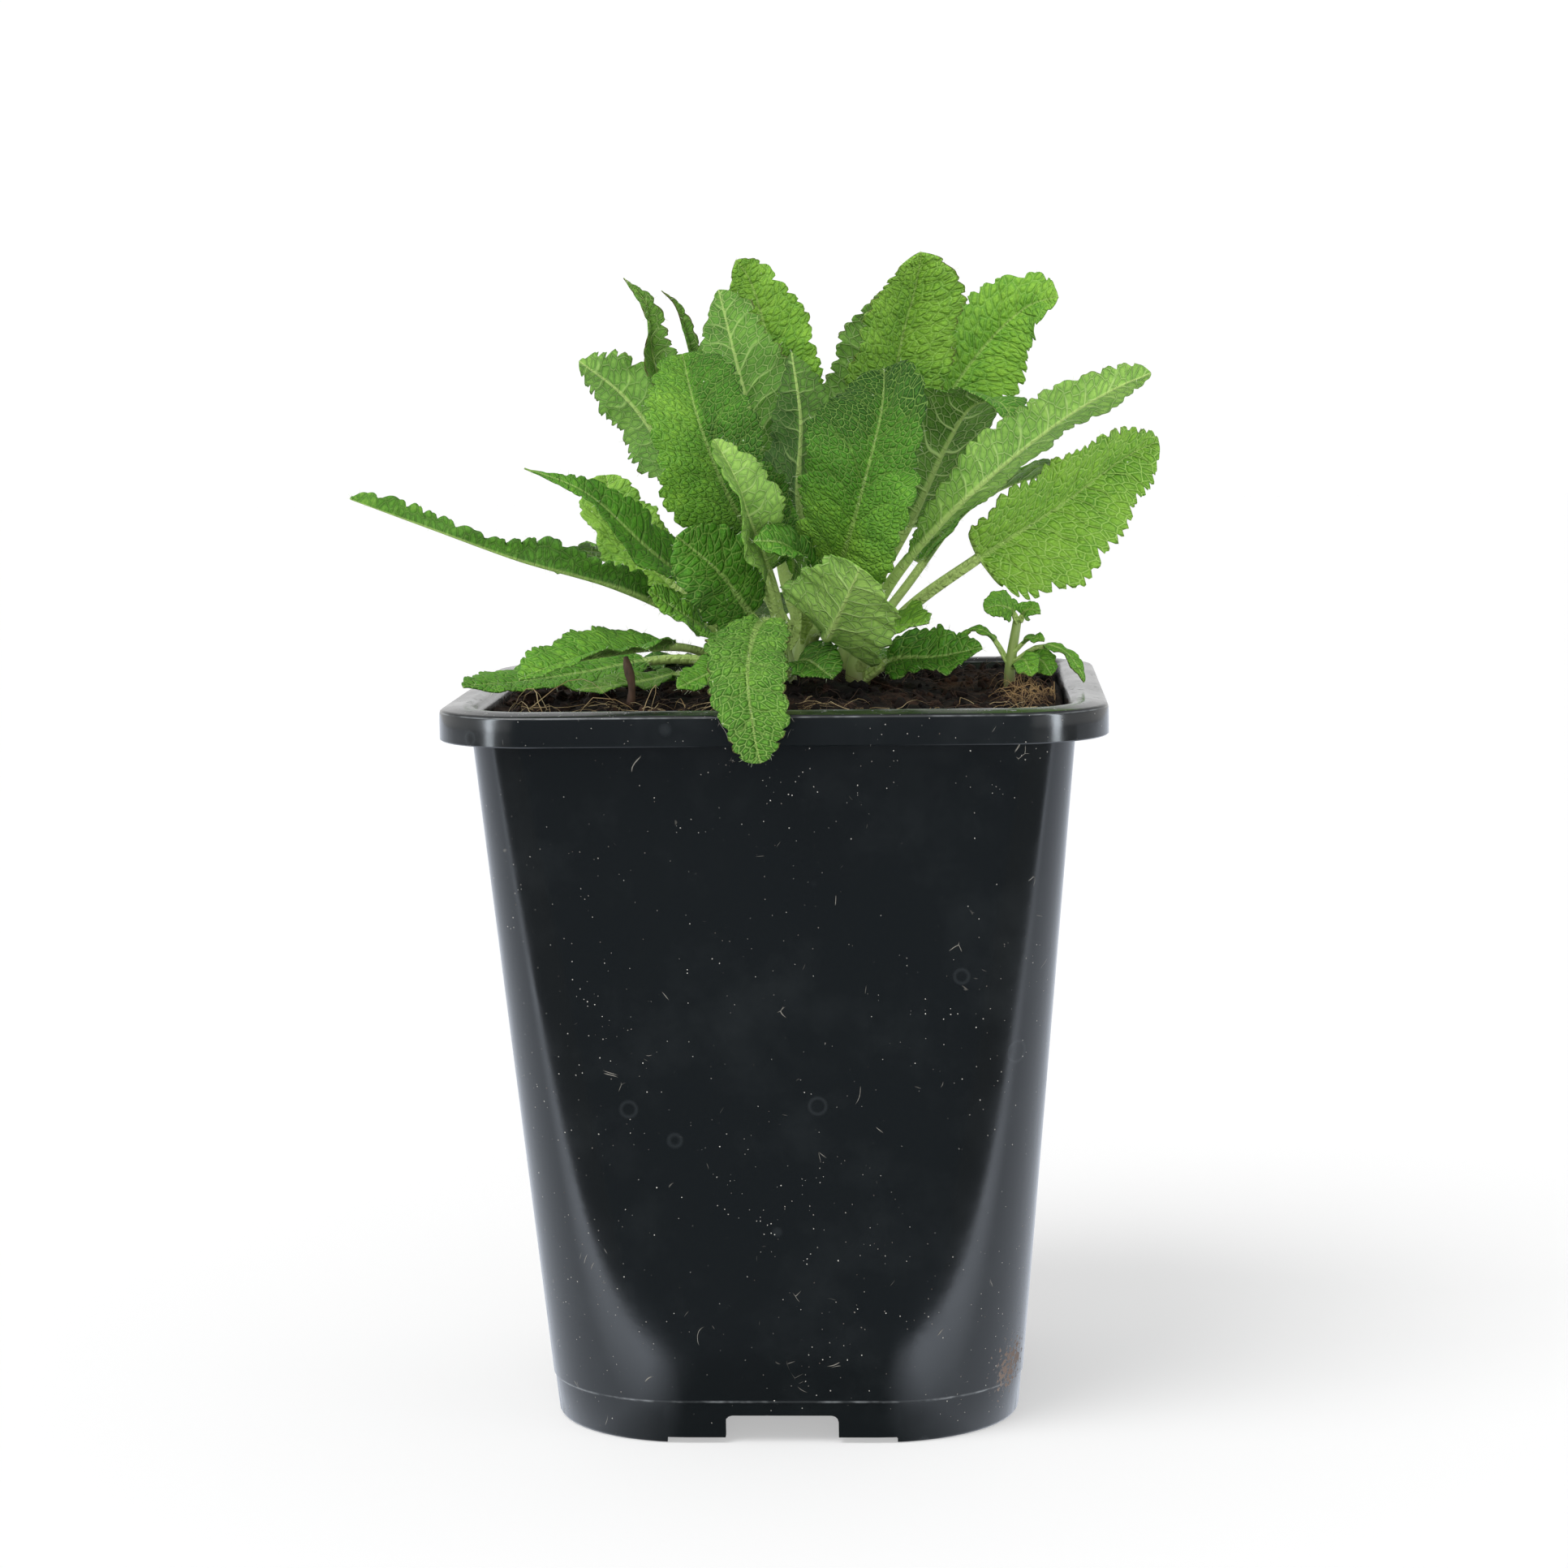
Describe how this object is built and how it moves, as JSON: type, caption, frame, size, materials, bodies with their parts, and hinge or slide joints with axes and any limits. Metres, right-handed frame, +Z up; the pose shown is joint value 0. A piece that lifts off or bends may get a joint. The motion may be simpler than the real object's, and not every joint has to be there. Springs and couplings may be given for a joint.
{
  "type": "potted perennial salvia",
  "caption": "Young perennial salvia with a rosette of wrinkled, crenate leaves on long stalks, growing in the peat of a square black nursery pot.",
  "frame": {"origin": "centre of the pot's base, on the plane that the pot stands on", "axes": "+Z up along the plant, the front seen in the picture faces -Y, +X to the right of it"},
  "size_m": [0.1319, 0.1273, 0.1987],
  "materials": {
    "pot": "moulded, satin gloss, dusty",
    "soil": "damp peat with fibres",
    "crown": "fresh green shoots",
    "twig": "brown cut stub",
    "leaf_bright": "wrinkled matte leaf, yellow green",
    "leaf_deep": "wrinkled matte leaf, deep green",
    "leaf_pale": "veined underside, grey green"
  },
  "bodies": {
    "root": {"pot": "pot", "soil": "soil", "crown": "crown", "side_shoot": "leaf_bright", "twig": "twig", "leaf_left_long": "leaf_deep", "leaf_left_lance": "leaf_deep", "leaf_left_oval": "leaf_deep", "leaf_left_face": "leaf_deep", "leaf_left_small": "leaf_bright", "leaf_left_low": "leaf_bright", "leaf_left_rim": "leaf_bright", "leaf_left_soil": "leaf_pale", "leaf_left_under": "leaf_deep", "leaf_front_droop": "leaf_deep", "leaf_front_under": "leaf_pale", "leaf_front_small": "leaf_deep", "leaf_front_soil": "leaf_deep", "leaf_front_wavy": "leaf_bright", "leaf_front_twisted": "leaf_pale", "leaf_front_spear": "leaf_pale", "leaf_front_big": "leaf_deep", "leaf_front_keel": "leaf_pale", "leaf_front_left": "leaf_bright", "leaf_top_veined": "leaf_pale", "leaf_top_left": "leaf_bright", "leaf_top_narrow": "leaf_pale", "leaf_top_curled": "leaf_pale", "leaf_left_pale": "leaf_pale", "leaf_top_right": "leaf_deep", "leaf_top_back": "leaf_pale", "leaf_top_far_right": "leaf_bright", "leaf_right_shadow": "leaf_pale", "leaf_right_long": "leaf_pale", "leaf_right_fan": "leaf_bright", "leaf_right_small": "leaf_bright", "leaf_right_soil": "leaf_deep", "leaf_back_left": "leaf_bright", "leaf_back_middle": "leaf_deep", "leaf_back_right": "leaf_bright", "leaf_back_droop": "leaf_deep", "leaf_back_soil": "leaf_deep"}
  },
  "joints": []
}
